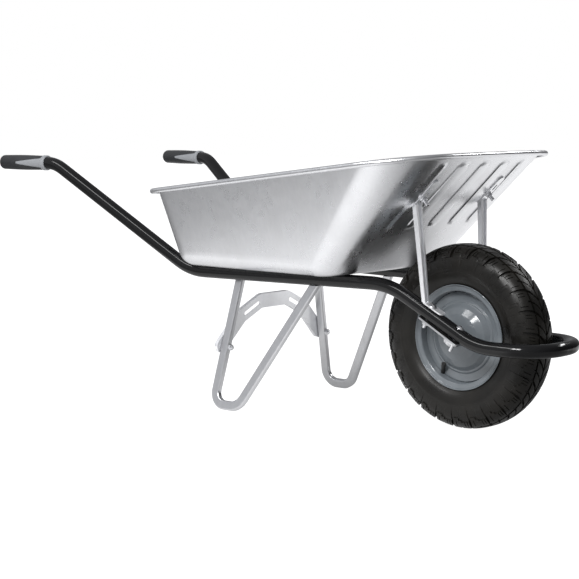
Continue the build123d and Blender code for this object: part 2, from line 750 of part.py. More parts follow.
with BuildPart() as rim:
    add(pressed(half_and_mirror(RIM_PROFILE), RIM_SHEET))
    with Locations(valve_plane.location):
        Cylinder(VALVE_HOLE_D / 2, VALVE_HOLE_REACH, mode=Mode.SUBTRACT)
with BuildPart() as wheel_disc_left:
    add(pressed(DISC_PROFILE, DISC_SHEET))
with BuildPart() as wheel_disc_right:
    mirror(wheel_disc_left.part, about=Plane.XZ)
    with Locations(valve_plane.location):
        Cylinder(VALVE_HOLE_D / 2, VALVE_HOLE_REACH, mode=Mode.SUBTRACT)
hub_end = [(HUB_HALF, HUB_ID / 2), (HUB_HALF, HUB_OD / 2)]
hub_tube = turned(half_and_mirror(hub_end))


def bush(side):
    """A flanged plastic bush pressed into one end of the hub tube."""
    bore = M12 / 2 + SHANK_PLAY
    inner = HUB_HALF - BUSH_LENGTH
    outer = HUB_HALF + BUSH_FLANGE
    steps = [(inner, bore), (outer, bore), (outer, HUB_OD / 2), (HUB_HALF, HUB_OD / 2)]
    steps += [(HUB_HALF, HUB_ID / 2), (inner, HUB_ID / 2)]
    return turned([(side * a, r) for a, r in steps])


def valve_profile(points):
    """A (radius, height) profile turned about the valve's own line."""
    return valve_plane.location * revolved_z(points)


stem_top = VALVE_LENGTH - VALVE_CAP_LENGTH
stem_foot = [(0, 0), (VALVE_FOOT_R, 0), (VALVE_FOOT_R, 1.5), (VALVE_STEM_R, 3)]
valve_stem = valve_profile(stem_foot + [(VALVE_STEM_R, stem_top), (0, stem_top)])
cap_skirt = [(0, stem_top), (VALVE_CAP_R, stem_top), (VALVE_CAP_R, VALVE_LENGTH - 1.5)]
valve_cap = valve_profile(cap_skirt + [(VALVE_TIP_R, VALVE_LENGTH), (0, VALVE_LENGTH)])
with BuildPart() as inner_tube:
    with BuildSketch(wheel_section):
        add(air_space(RUN_GAP))
        add(air_space(TUBE_WALL + RUN_GAP), mode=Mode.SUBTRACT)
    revolve(axis=axle_axis)
    add(valve_stem, mode=Mode.SUBTRACT)

axle_end = [(AXLE_HALF, 0), (AXLE_HALF, M12 / 2 - AXLE_BEVEL), (AXLE_HALF - AXLE_BEVEL, M12 / 2)]
axle = turned(half_and_mirror(axle_end))
spacer_in = HUB_HALF + BUSH_FLANGE + RUN_GAP
spacer_bore = M12 / 2 + SHANK_PLAY
spacer = turned([
    (spacer_in, spacer_bore), (LUG_Y, spacer_bore), (LUG_Y, SPACER_OD / 2), (spacer_in, SPACER_OD / 2),
])
lug_planes = [Plane(origin=(WHEEL_X, s * (LUG_Y + PLATE), AXLE_Z), z_dir=(0, -s, 0)) for s in SIDES]
nut_planes = [plane.offset(-WASHER) for plane in lug_planes]

# ---------------------------------------------------------------- fasteners
tray_bolt = dome_bolt(M6, M6_HEAD, SHEET + TUBE_D + TRAY_BOLT_BITE)
rail_bolt = dome_bolt(M6, M6_HEAD, SHEET + TUBE_D - TUBE_WALL / 2)
leg_bolt = dome_bolt(M6, M6_HEAD, SHEET + TRAY_BOLT_BITE)
foot_bolt = dome_bolt(M8, M8_HEAD, TAB_THICK + TUBE_D + PLATE + FOOT_BOLT_REACH)
tube_bolt = dome_bolt(M8, M8_HEAD, TUBE_D + PLATE + TUBE_BOLT_REACH)
tab_bolt = dome_bolt(M8, M8_LOW_HEAD, SHEET + TAB_THICK + WASHER + TAB_BOLT_REACH)
brace_bolt = dome_bolt(M8, M8_LOW_HEAD, LEG_WIDE + BRACE_THICK + BRACE_BOLT_REACH)
rear_seats, front_seats = [
    [Plane(origin=(x, s * rail_y(x), TRAY_Z + SHEET)) for s in SIDES] for x in RAIL_BOLT_X
]
leg_seats = [Plane(origin=leg_bolt_point(s) + Vector(0, 0, SHEET)) for s in SIDES]
foot_bolts = [incline_plane(s, BRACKET_BOLTS[0], -TUBE_D / 2 - TAB_THICK) for s in SIDES]
tube_bolts = [incline_plane(s, BRACKET_BOLTS[1], -TUBE_D / 2) for s in SIDES]
bracket_unders = [incline_plane(s, along, TUBE_D / 2 + PLATE) for s in SIDES for along in BRACKET_BOLTS]
tab_planes = [tab_bolt_plane(s) for s in SIDES]
tab_heads = [
    Plane(origin=p.offset(-SHEET - SEAT_GAP).origin, x_dir=p.x_dir, z_dir=p.z_dir * -1) for p in tab_planes
]
tab_outers = [
    Plane(origin=p.offset(TAB_THICK + SEAT_GAP).origin, x_dir=p.x_dir, z_dir=p.z_dir * -1) for p in tab_planes
]
brace_rears = [brace_bolt_plane(s) for s in SIDES]
brace_fronts = [p.offset(-(BRACE_THICK + BRACE_STAND_OFF + LEG_WIDE + BRACE_NUT_GAP)) for p in brace_rears]

pieces = {
    "frame_tube": frame_tube.part,
    "tray": tray.part,
    "leg_left": leg_left,
    "leg_right": leg_right,
    "leg_brace": leg_brace.part,
    "strut_left": strut_left,
    "strut_right": strut_right,
    "axle_bracket_left": axle_bracket_left.part,
    "axle_bracket_right": axle_bracket_right.part,
    "grip_core_left": grip_core_left,
    "grip_core_right": grip_core_right,
    "grip_pad_left": grip_pad_left,
    "grip_pad_right": grip_pad_right,
    "tyre": tyre.part,
    "inner_tube": inner_tube.part,
    "rim": rim.part,
    "wheel_disc_left": wheel_disc_left.part,
    "wheel_disc_right": wheel_disc_right.part,
    "hub_tube": hub_tube,
    "wheel_bush_left": bush(1),
    "wheel_bush_right": bush(-1),
    "valve_stem": valve_stem,
    "valve_cap": valve_cap,
    "axle": axle,
    "axle_spacers": [spacer, mirror(spacer, about=Plane.XZ)],
    "axle_washers": placed(washer(M12, M12_WASHER_OD, WASHER), lug_planes),
    "axle_nuts": placed(hex_nut(M12, M12_NUT), nut_planes),
    "tray_bolts": placed(tray_bolt, front_seats),
    "rail_bolts": placed(rail_bolt, rear_seats),
    "leg_bolts": placed(leg_bolt, leg_seats),
    "bracket_foot_bolts": placed(foot_bolt, foot_bolts),
    "bracket_tube_bolts": placed(tube_bolt, tube_bolts),
    "bracket_washers": placed(washer(M8, M8_WASHER_OD, WASHER), bracket_unders),
    "bracket_nuts": placed(hex_nut(M8, M8_NUT), [p.offset(-WASHER) for p in bracket_unders]),
    "strut_tab_bolts": placed(tab_bolt, tab_heads),
    "strut_tab_washers": placed(washer(M8, M8_WASHER_OD, WASHER), tab_outers),
    "strut_tab_nuts": placed(hex_nut(M8, M8_NUT), [p.offset(-WASHER) for p in tab_outers]),
    "brace_bolts": placed(brace_bolt, brace_rears),
    "brace_nuts": placed(hex_nut(M8, M8_NUT), brace_fronts),
}

os.makedirs("parts", exist_ok=True)
for name, shape in pieces.items():
    piece = piece_group(name, shape)
    export_step(piece, f"parts/{name}.step")
    print(name, len(piece.solids()), round(piece.volume))
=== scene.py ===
"""A galvanised builder's wheelbarrow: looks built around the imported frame. Metres, +X forwards, +Z up."""
from bisect import bisect
from math import atan2, cos, exp, hypot, pi, radians, sin, sqrt, tan

import bpy
from mathutils import Matrix, Vector


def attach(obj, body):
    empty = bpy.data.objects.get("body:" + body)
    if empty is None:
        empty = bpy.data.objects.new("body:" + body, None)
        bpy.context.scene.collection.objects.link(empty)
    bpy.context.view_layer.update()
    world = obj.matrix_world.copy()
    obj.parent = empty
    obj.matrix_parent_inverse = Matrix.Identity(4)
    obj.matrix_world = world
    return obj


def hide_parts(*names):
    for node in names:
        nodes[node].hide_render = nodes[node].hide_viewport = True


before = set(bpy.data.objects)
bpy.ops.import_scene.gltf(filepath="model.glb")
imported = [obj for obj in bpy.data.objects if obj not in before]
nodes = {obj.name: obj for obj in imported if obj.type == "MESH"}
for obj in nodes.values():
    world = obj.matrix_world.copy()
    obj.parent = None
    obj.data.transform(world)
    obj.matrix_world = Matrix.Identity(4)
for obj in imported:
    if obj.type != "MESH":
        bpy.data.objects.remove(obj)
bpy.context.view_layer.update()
MM = 0.001


# ---------------------------------------------------------------- camera and light
CAMERA_AT = Vector((2.4872, -2.8043, 0.6875))
CAMERA_RIGHT = Vector((0.74455, 0.66756, -0.00295))
CAMERA_UP = Vector((-0.07271, 0.08548, 0.99368))
CAMERA_BACK = Vector((0.66359, -0.73964, 0.11218))
LENS = 99.86
SENSOR = 36.0
SHIFT = (-0.001, 0.0003)
SKY_TINT = (0.96, 0.97, 1.0, 1)
SKY_SLOPE = (-0.2, -0.26, 0.12)
SKY_LEVEL = 0.36
SKY_LIMITS = (0.05, 1.1)
WHITE = (1, 1, 1, 1)
FLOOR_REACH = 14.0
FLOOR_TONE = 0.35
# Strengths of the floor's painted glow: the pool of light on the near side, the painted shadow under the
# barrow, the light behind it.
FLOOR_GLOW_NEAR = 0.85
FLOOR_SHADOW_UNDER = 0.14
FLOOR_GLOW_BEHIND = 0.75
POOL_AT = (0.6, 0.3, 0.0)
POOL_EDGE = 0.03
POOL_REACH = (1.46, 1.64)
POOL_FRONT = (0.45, 0.7)
SHADE_SPAN = (-0.45, 0.42)
BEHIND_SPAN = (0.42, 0.75)
LIGHTS = {
    "key": dict(place=(-0.6, -2.3, 2.7), target=(0.1, 0, 0.4), size=(2.0, 0.5), power=30),
    "rim": dict(place=(1.2, 2.6, 2.4), target=(0.2, 0, 0.3), size=(1.8, 0.3), power=24),
    "window_left": dict(place=(0.8, -2.35, 2.1), target=(0.48, 0, 0.2), size=(0.42, 0.8), power=34),
    "window_right": dict(place=(1.28, -2.3, 2.1), target=(0.48, 0, 0.2), size=(0.42, 0.8), power=34),
}


def make_camera():
    """A long lens low on the barrow's right front, looking slightly down."""
    data = bpy.data.cameras.new("camera")
    data.lens = LENS
    data.sensor_width = SENSOR
    data.shift_x, data.shift_y = SHIFT
    camera = bpy.data.objects.new("camera", data)
    bpy.context.scene.collection.objects.link(camera)
    turn = Matrix((CAMERA_RIGHT, CAMERA_UP, CAMERA_BACK)).transposed()
    camera.matrix_world = Matrix.Translation(CAMERA_AT) @ turn.to_4x4()
    bpy.context.scene.camera = camera


def softbox(name, place, target, size, power):
    """A rectangular light at `place`, aimed at `target`."""
    data = bpy.data.lights.new(name, "AREA")
    data.shape = "RECTANGLE"
    data.size, data.size_y = size
    data.energy = power
    light = bpy.data.objects.new(name, data)
    bpy.context.scene.collection.objects.link(light)
    aim = (Vector(target) - Vector(place)).normalized()
    light.rotation_euler = aim.to_track_quat("-Z", "Y").to_euler()
    light.location = place


def directional(tree, weights, offset):
    """A world strength that varies with direction: offset plus the weighted direction, within limits."""
    where = tree.nodes.new("ShaderNodeTexCoord")
    dot = tree.nodes.new("ShaderNodeVectorMath")
    dot.operation = "DOT_PRODUCT"
    dot.inputs[1].default_value = weights
    tree.links.new(where.outputs["Generated"], dot.inputs[0])
    shifted = tree.nodes.new("ShaderNodeMath")
    shifted.inputs[1].default_value = offset
    tree.links.new(dot.outputs["Value"], shifted.inputs[0])
    clamp = tree.nodes.new("ShaderNodeClamp")
    clamp.inputs["Min"].default_value, clamp.inputs["Max"].default_value = SKY_LIMITS
    tree.links.new(shifted.outputs[0], clamp.inputs["Value"])
    return clamp.outputs[0]


def make_world():
    """White behind the barrow, and soft light that comes mostly from above, behind and its right."""
    world = bpy.data.worlds.new("studio")
    bpy.context.scene.world = world
    world.use_nodes = True
    tree = world.node_tree
    surround = tree.nodes["Background"]
    surround.inputs["Color"].default_value = SKY_TINT
    tree.links.new(directional(tree, SKY_SLOPE, SKY_LEVEL), surround.inputs["Strength"])
    backdrop = tree.nodes.new("ShaderNodeBackground")
    backdrop.inputs["Color"].default_value = WHITE
    path = tree.nodes.new("ShaderNodeLightPath")
    mix = tree.nodes.new("ShaderNodeMixShader")
    tree.links.new(path.outputs["Is Camera Ray"], mix.inputs[0])
    tree.links.new(surround.outputs[0], mix.inputs[1])
    tree.links.new(backdrop.outputs[0], mix.inputs[2])
    tree.links.new(mix.outputs[0], tree.nodes["World Output"].inputs["Surface"])


def make_floor():
    """White paper that glows. The camera sees it plain white; all other rays see a painted glow, which the
    metal reflects: a painted pool of light beside the barrow, a painted shadow under the barrow and painted
    light behind it.
    """
    mesh = bpy.data.meshes.new("floor")
    corners = [(x * FLOOR_REACH, y * FLOOR_REACH, 0) for x, y in ((-1, -1), (1, -1), (1, 1), (-1, 1))]
    mesh.from_pydata(corners, [], [(0, 1, 2, 3)])
    floor = bpy.data.objects.new("floor", mesh)
    bpy.context.scene.collection.objects.link(floor)
    paper = Paint("floor_paper_painted_glow", (FLOOR_TONE, FLOOR_TONE, FLOOR_TONE), roughness=0.9)
    paper.bsdf.inputs["Emission Color"].default_value = WHITE
    split = paper.node("SeparateXYZ")
    paper.link(paper.place(), split.inputs[0])
    away = paper.node("VectorMath")
    away.operation = "DISTANCE"
    paper.link(paper.place(), away.inputs[0])
    away.inputs[1].default_value = POOL_AT
    pool = paper.fit(away.outputs["Value"], 1.0, POOL_EDGE, *POOL_REACH)
    pool = paper.maths("MULTIPLY", pool, paper.fit(split.outputs["X"], 1.0, POOL_EDGE, *POOL_FRONT))
    # Painted shadow: the glow falls from the near side to a dark band under the barrow.
    shade = paper.fit(split.outputs["Y"], FLOOR_GLOW_NEAR, FLOOR_SHADOW_UNDER, *SHADE_SPAN)
    behind = paper.fit(split.outputs["Y"], 0.0, FLOOR_GLOW_BEHIND, *BEHIND_SPAN)
    # The painted glow: the pool of light times the painted shadow, plus painted light behind the barrow; only
    # rays that are not from the camera see it.
    painted_glow = paper.maths("ADD", paper.maths("MULTIPLY", pool, shade), behind)
    seen = paper.node("LightPath").outputs["Is Camera Ray"]
    unseen = paper.maths("MULTIPLY", paper.maths("SUBTRACT", 1.0, seen), painted_glow)
    paper.link(paper.maths("ADD", seen, unseen), paper.bsdf.inputs["Emission Strength"])
    paper.on(floor)


def make_studio():
    """The surroundings and a few soft boxes."""
    make_world()
    make_floor()
    for name, light in LIGHTS.items():
        softbox(name, **light)
    bpy.context.scene.view_settings.view_transform = "Standard"


# ---------------------------------------------------------------- materials
WORN_ZINC = (0.9, 0.9, 0.91)
WORN_PAINT = (0.25, 0.25, 0.26)
WEAR_RADIUS = 0.001
WEAR_TURN = (0.5, 0.85)
RELIEF_DEPTH = 0.0003


class Paint:
    """A Principled material, with short ways to add the procedural nodes that drive it."""

    def __init__(self, name, colour, **sockets):
        self.material = bpy.data.materials.new(name)
        self.material.use_nodes = True
        self.tree = self.material.node_tree
        self.bsdf = self.tree.nodes["Principled BSDF"]
        self.bsdf.inputs["Base Color"].default_value = (*colour, 1)
        for socket, value in sockets.items():
            self.bsdf.inputs[socket.replace("_", " ").title().replace("Ior", "IOR")].default_value = value

    def node(self, kind, **inputs):
        made = self.tree.nodes.new("ShaderNode" + kind)
        for name, value in inputs.items():
            made.inputs[name].default_value = value
        return made

    def link(self, output, target):
        self.tree.links.new(output, target)

    def place(self, stretch=(1, 1, 1)):
        """The surface's place on the object, stretched along the axes."""
        where = self.node("TexCoord")
        mapping = self.node("Mapping", Scale=stretch)
        self.link(where.outputs["Object"], mapping.inputs["Vector"])
        return mapping.outputs["Vector"]

    def noise(self, scale, detail=3.0, stretch=(1, 1, 1)):
        made = self.node("TexNoise", Scale=scale, Detail=detail)
        self.link(self.place(stretch), made.inputs["Vector"])
        return made.outputs["Fac"]

    def cells(self, scale):
        """A random grey for each crystal-like cell."""
        made = self.node("TexVoronoi", Scale=scale)
        self.link(self.place(), made.inputs["Vector"])
        grey = self.node("SeparateColor")
        self.link(made.outputs["Color"], grey.inputs[0])
        return grey.outputs[0]

    def fit(self, source, low, high, start=0.0, end=1.0):
        """A value from start..end moved onto low..high."""
        made = self.node("MapRange")
        for name, value in (("From Min", start), ("From Max", end), ("To Min", low), ("To Max", high)):
            made.inputs[name].default_value = value
        self.link(source, made.inputs["Value"])
        return made.outputs["Result"]

    def maths(self, operation, first, second):
        made = self.node("Math")
        made.operation = operation
        for socket, value in zip(made.inputs, (first, second)):
            if isinstance(value, (int, float)):
                socket.default_value = value
            else:
                self.link(value, socket)
        return made.outputs[0]

    def blend(self, factor, first, second):
        """first where factor is 0, second where it is 1; each a colour or another node's colour."""
        made = self.node("Mix")
        made.data_type = "RGBA"
        self.link(factor, made.inputs["Factor"])
        for socket, value in ((made.inputs[6], first), (made.inputs[7], second)):
            if isinstance(value, tuple):
                socket.default_value = (*value, 1)
            else:
                self.link(value, socket)
        return made.outputs[2]

    def colour(self, source):
        self.link(source, self.bsdf.inputs["Base Color"])

    def roughness(self, source):
        self.link(source, self.bsdf.inputs["Roughness"])

    def bump(self, height, strength):
        made = self.node("Bump", Strength=strength, Distance=RELIEF_DEPTH)
        self.link(height, made.inputs["Height"])
        if self.bsdf.inputs["Normal"].is_linked:
            self.link(self.bsdf.inputs["Normal"].links[0].from_socket, made.inputs["Normal"])
        self.link(made.outputs["Normal"], self.bsdf.inputs["Normal"])

    def edges(self, radius):
        """1 on outer edges and corners, 0 on flat faces: where a finish wears."""
        bevel = self.node("Bevel", Radius=radius)
        geometry = self.node("NewGeometry")
        dot = self.node("VectorMath")
        dot.operation = "DOT_PRODUCT"
        self.link(bevel.outputs["Normal"], dot.inputs[0])
        self.link(geometry.outputs["Normal"], dot.inputs[1])
        return self.fit(dot.outputs["Value"], 1.0, 0.0, *WEAR_TURN)

    def on(self, *objects):
        for obj in objects:
            obj.data.materials.clear()
            obj.data.materials.append(self.material)


def galvanised(name, tone, roughness, crystal, streak, relief, metallic=1.0):
    """Zinc-coated steel: faint crystals, cloudy tone and fine lines along the rolling direction."""
    paint = Paint(name, (tone, tone, tone), metallic=metallic, roughness=roughness)
    crystals = paint.cells(crystal)
    cloud = paint.noise(6.0, 3.0)
    lines = paint.noise(150.0, 2.0, streak)
    grime = paint.noise(14.0, 2.0, (1, 1, 0.35))
    mottle = paint.maths("ADD", paint.fit(crystals, 0.0, 0.25), paint.fit(cloud, 0.0, 0.45, 0.3, 0.7))
    mottle = paint.maths("ADD", mottle, paint.fit(lines, 0.0, 0.3, 0.3, 0.7))
    dark, light = tone * 0.93, tone * 1.05
    sheet = paint.blend(mottle, (dark, dark * 1.008, dark * 1.035), (light, light * 1.006, light * 1.03))
    sheet = paint.blend(paint.fit(paint.edges(WEAR_RADIUS), 0.0, 0.35), sheet, WORN_ZINC)
    dirt = (dark * 0.75, dark * 0.74, dark * 0.72)
    paint.colour(paint.blend(paint.fit(grime, 0.0, 0.2, 0.5, 0.8), sheet, dirt))
    rough = paint.fit(lines, roughness - 0.02, roughness + 0.03)
    rough = paint.maths("ADD", paint.fit(crystals, -0.012, 0.012), rough)
    paint.roughness(paint.maths("ADD", rough, paint.fit(grime, 0.0, 0.04, 0.5, 0.8)))
    paint.bump(lines, relief)
    return paint


def gloss_paint(name, colour, roughness, specular, chip):
    """Stove enamel on steel: a slight orange peel, an uneven gloss, and rubbed edges."""
    paint = Paint(name, colour, roughness=roughness, specular_ior_level=specular)
    peel = paint.noise(420.0, 2.0)
    haze = paint.noise(14.0, 5.0)
    paint.roughness(paint.fit(haze, roughness * 0.75, roughness * 1.6, 0.3, 0.75))
    lifted = tuple(c * 1.25 + 0.002 for c in colour)
    body = paint.blend(paint.fit(haze, 0.0, 1.0, 0.35, 0.7), colour, lifted)
    paint.colour(paint.blend(paint.fit(paint.edges(1.2 * WEAR_RADIUS), 0.0, chip), body, WORN_PAINT))
    paint.bump(peel, 0.02)
    return paint


def rubber(name, colour, roughness, grain, dust):
    """Moulded rubber or plastic: fine grain, uneven sheen and a little pale dust."""
    paint = Paint(name, colour, roughness=roughness, specular_ior_level=0.26)
    blotch = paint.noise(16.0, 5.0)
    fine = paint.noise(grain, 3.0)
    paint.roughness(paint.fit(blotch, roughness - 0.09, roughness + 0.1, 0.32, 0.68))
    paint.colour(paint.blend(paint.fit(blotch, 0.0, 1.0, 0.3, 0.75), colour, dust))
    paint.bump(fine, 0.25)
    return paint


tray_sheet = galvanised("galvanised_sheet", 0.7, 0.28, 60.0, (1, 1, 0.04), 0.03)
leg_zinc = galvanised("galvanised_section", 0.58, 0.3, 160.0, (1, 1, 0.1), 0.1)
strut_zinc = galvanised("bright_section", 0.9, 0.3, 160.0, (1, 1, 0.03), 0.05, 0.7)
bolt_zinc = galvanised("bright_zinc", 0.8, 0.2, 500.0, (1, 1, 1), 0.1)
black_paint = gloss_paint("black_enamel", (0.002, 0.002, 0.0023), 0.1, 0.34, 0.06)
wheel_paint = gloss_paint("grey_enamel", (0.123, 0.137, 0.149), 0.12, 0.5, 0.15)
tyre_rubber = rubber("tyre_rubber", (0.0062, 0.0058, 0.0052), 0.33, 900.0, (0.0125, 0.0112, 0.0092))
tube_rubber = rubber("inner_rubber", (0.015, 0.015, 0.015), 0.55, 700.0, (0.022, 0.022, 0.022))
grip_rubber = rubber("grip_soft", (0.018, 0.019, 0.021), 0.4, 1400.0, (0.042, 0.043, 0.046))
grip_plastic = rubber("grip_hard", (0.27, 0.28, 0.295), 0.36, 1100.0, (0.31, 0.32, 0.335))
nylon = rubber("bush_nylon", (0.02, 0.02, 0.02), 0.4, 1200.0, (0.03, 0.03, 0.03))
FINISHES = {
    black_paint: ("frame_tube",),
    leg_zinc: ("leg_left", "leg_right", "axle_bracket_left", "axle_bracket_right"),
    strut_zinc: ("strut_left", "strut_right", "leg_brace"),
    wheel_paint: ("rim", "wheel_disc_left", "wheel_disc_right", "hub_tube"),
    bolt_zinc: (
        "axle", "axle_spacers", "axle_washers", "axle_nuts", "tray_bolts", "rail_bolts", "leg_bolts",
        "bracket_foot_bolts", "bracket_tube_bolts", "bracket_washers", "bracket_nuts",
        "strut_tab_bolts", "strut_tab_washers", "strut_tab_nuts", "brace_bolts", "brace_nuts",
    ),
    tube_rubber: ("inner_tube", "valve_stem"),
    nylon: ("wheel_bush_left", "wheel_bush_right", "valve_cap"),
}


# ---------------------------------------------------------------- mesh helpers
def mesh_object(name, points, faces, sharp_angle=35.0):
    """A smooth-shaded mesh object from points in millimetres."""
    mesh = bpy.data.meshes.new(name)
    mesh.from_pydata([Vector(p) * MM for p in points], [], faces)
    mesh.validate()
    mesh.polygons.foreach_set("use_smooth", [True] * len(mesh.polygons))
    mesh.set_sharp_from_angle(angle=radians(sharp_angle))
    obj = bpy.data.objects.new(name, mesh)
    bpy.context.scene.collection.objects.link(obj)
    return obj


def grid_faces(rows, columns, around=True, over=False):
    """Quads joining a grid of points stored row by row; `around` closes the columns, `over` the rows."""
    faces = []
    for i in range(rows if over else rows - 1):
        for j in range(columns if around else columns - 1):
            a = i * columns + j
            b = i * columns + (j + 1) % columns
            c = (i + 1) % rows * columns + (j + 1) % columns
            d = (i + 1) % rows * columns + j
            faces.append((a, b, c, d))
    return faces


def smooth_step(x):
    x = min(1.0, max(0.0, x))
    return x * x * (3 - 2 * x)


def paired(edges, gap):
    """Each edge twice, a little before and a little after, so that a step there is steep."""
    return [e + s * gap for e in edges for s in (-1, 1)]


def settle(piece, body, node, paint):
    """Put a piece on its body in place of a CAD node and finish."""
    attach(piece, body)
    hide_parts(node)
    paint.on(piece)


# ---------------------------------------------------------------- treaded tyre
WHEEL_X = 485.5
WHEEL_Z = 200.0
TYRE_R = 200.0
TYRE_HALF = 48.0
TYRE_WIDEST_R = 152.0
TYRE_SQUARENESS = 2 / 2.6
TYRE_BEAD_Y = 33.0
TYRE_BEAD_R = 112.5
BEAD_CURVE = 2.2
OUTLINE_STEPS = 400
LINING = (
    (31.5, 106.0), (30.0, 102.6), (22.5, 102.0), (24.0, 111.0),
    (38.0, 132.0), (40.5, 150.0), (33.0, 181.0), (6.0, 190.4),
)
TREAD_PITCHES = 25
TREAD_DEPTH = 5.2
GROOVE_OVERRUN = 6.0
GROOVE_FADE = 22.0
BUTTRESS = 2.4
BUTTRESS_FADE = 26.0
SIPE_DEPTH = 2.2
SIPE_START = 33.0
SIPE_END = 50.0
CHANNEL = (22.0, 25.5)
CROWN_GROOVE = 2.2
WEDGE_END = 30.0
SWEEP_BACK = 40.0
SWEEP_OVER = 18.0
HALF_STAGGER = 0.25
STEP_GAP = 0.35
LATERAL_END = 0.12
WEDGE_SLOT = (0.5, 0.57)
SIPES = ((0.27, 0.3), (0.74, 0.77), (0.88, 0.91))
SHOULDER_ENDS = ((0.42, 58.0), (0.57, 52.0), (1.0, 47.0))
SIDE_RING = 86.2
SIDE_RING_HALF = 2.4
SIDE_RING_RISE = 0.8


def tyre_outline():
    """The tyre's outer line from crown to bead, as (axial, radius) points with the distance to each."""
    line = []
    for i in range(OUTLINE_STEPS + 1):
        turn = i / OUTLINE_STEPS * pi / 2
        axial = TYRE_HALF * sin(turn) ** TYRE_SQUARENESS
        line.append((axial, TYRE_WIDEST_R + (TYRE_R - TYRE_WIDEST_R) * cos(turn) ** TYRE_SQUARENESS))
    for i in range(1, OUTLINE_STEPS + 1):
        s = i / OUTLINE_STEPS
        axial = TYRE_HALF - (TYRE_HALF - TYRE_BEAD_Y) * s**BEAD_CURVE
        line.append((axial, TYRE_WIDEST_R - (TYRE_WIDEST_R - TYRE_BEAD_R) * s))
    lengths = [0.0]
    for (y0, r0), (y1, r1) in zip(line, line[1:]):
        lengths.append(lengths[-1] + hypot(y1 - y0, r1 - r0))
    return line, lengths


def tyre_point(line, lengths, at):
    """The place and outward direction `at` millimetres from the crown."""
    i = min(max(bisect(lengths, at), 1), len(lengths) - 1)
    (y0, r0), (y1, r1) = line[i - 1], line[i]
    run = hypot(y1 - y0, r1 - r0)
    f = (at - lengths[i - 1]) / run
    return y0 + (y1 - y0) * f, r0 + (r1 - r0) * f, -(r1 - r0) / run, (y1 - y0) / run


def tread_cut(u, t):
    """How far the rubber lies below the tread's top at `u` across a pitch and `t` from the crown."""
    end = next(end for limit, end in SHOULDER_ENDS if u % 1.0 < limit)
    if t > end:
        return BUTTRESS * (1 - smooth_step((t - end) / BUTTRESS_FADE))
    fade = smooth_step((end + GROOVE_OVERRUN - t) / GROOVE_FADE)
    if t < CROWN_GROOVE or CHANNEL[0] < t < CHANNEL[1]:
        return TREAD_DEPTH
    if 0 < u % 1.0 < LATERAL_END:
        return BUTTRESS + (TREAD_DEPTH - BUTTRESS) * fade
    if WEDGE_SLOT[0] < u % 1.0 < WEDGE_SLOT[1] and t < WEDGE_END:
        return TREAD_DEPTH
    if SIPE_START < t < SIPE_END and any(lo < u % 1.0 < hi for lo, hi in SIPES):
        return SIPE_DEPTH
    return 0.0


def tread_columns():
    """Places across one pitch, doubled at every groove's edge."""
    edges = [LATERAL_END, *WEDGE_SLOT, SHOULDER_ENDS[0][0]]
    for pair in SIPES:
        edges += pair
    gap = STEP_GAP / (2 * pi * TYRE_R / TREAD_PITCHES)
    return sorted(paired(edges, gap) + [gap, 1 - gap, 0.06, 0.19, 0.35, 0.46, 0.65])


def tyre_rows():
    """Distances from the crown, doubled at every groove's edge, then down the side to the bead."""
    edges = [CROWN_GROOVE, *CHANNEL, WEDGE_END, SIPE_START, SIPE_END, *(end for limit, end in SHOULDER_ENDS)]
    tread = paired(edges, STEP_GAP) + [0.0, 6.0, 11.0, 16.5, 28.0, 37.0, 41.0, 44.5, 55.0]
    side = [62.0 + 3.6 * i for i in range(6)]
    ring = [82.0, 84.0, 85.5, 87.0, 88.5, 90.5]
    bead = [94.0 + 4.0 * i for i in range(5)]
    return sorted(tread + side + ring + bead)


def side_ring(t):
    """How far a moulded ring low on the side wall stands out at `t` from the crown."""
    return SIDE_RING_RISE * smooth_step(1 - abs(t - SIDE_RING) / SIDE_RING_HALF)


def make_tyre():
    """The whole tyre: two treaded halves half a pitch apart, and the lining inside them."""
    line, lengths = tyre_outline()
    bead = lengths[-1]
    rows = [t for t in tyre_rows() if t < bead - 1.0] + [bead]
    columns = [k + u for k in range(TREAD_PITCHES) for u in tread_columns()]
    points = []

    def add_ring(side, t, section):
        """A ring of points, swept back as the tread is at `t`; `section` gives a column's (y, radius)."""
        sweep = SWEEP_BACK * (1 - exp(-t / SWEEP_OVER))
        for column in columns:
            y, radius = section(column)
            turn = (column + HALF_STAGGER * side) / TREAD_PITCHES * 2 * pi + sweep / TYRE_R
            points.append((WHEEL_X + radius * cos(turn), side * y, WHEEL_Z + radius * sin(turn)))

    def add_tread(side, t):
        y, r, out_y, out_r = tyre_point(line, lengths, t)

        def section(column):
            cut = tread_cut(column, t) - side_ring(t)
            return y - cut * out_y, r - cut * out_r

        add_ring(side, t, section)

    for corner in LINING[::-1]:
        add_ring(1, bead, lambda column: corner)
    for t in rows[::-1]:
        add_tread(1, t)
    for t in rows:
        add_tread(-1, t)
    for corner in LINING:
        add_ring(-1, bead, lambda column: corner)
    count = 2 * (len(LINING) + len(rows))
    return mesh_object("tyre_treaded", points, grid_faces(count, len(columns), over=True), 30.0)


# ---------------------------------------------------------------- pressed tray
TRAY_FLOOR_Z = 326.5
BASE = dict(x_rear=-190.0, x_front=272.0, half=221.0, r_rear=50.0, r_front=50.0)
RIM_TILT = radians(6.76)
RIM_Z = 524.2
RIM = dict(x_rear=-229.6, x_front=564.9, half=293.0, r_rear=70.0, r_front=150.0)
FLANGE = 14.0
BOW_R = 1500.0
FLOOR_BEND = 42.0
LIP_BEND = 6.0
BEAD_R = 4.5
BEAD_LEAD = 2.0
SHEET = 1.5
INWARDS = -1.0
RIB_PITCH = 74.0
RIBS_EACH_SIDE = 2.5
RIB_HALF = 17.0
RIB_RISE = 2.6
RIB_EDGE = 3.4
RIB_SPAN = (0.4, 0.955)
FRONT_REACH = 143.0
FRONT_FACING = 0.9
CORNER_SAMPLES = 40
CORNER_STEPS = 26
SIDE_STEPS = 12
REAR_CURVE_STEPS = 16
REAR_STEPS = 5
FLOOR_BEND_STEPS = 8
LIP_BEND_STEPS = 5
ROLL_FROM = 188
ROLL_STEP = 27
ROLL_POINTS = 13


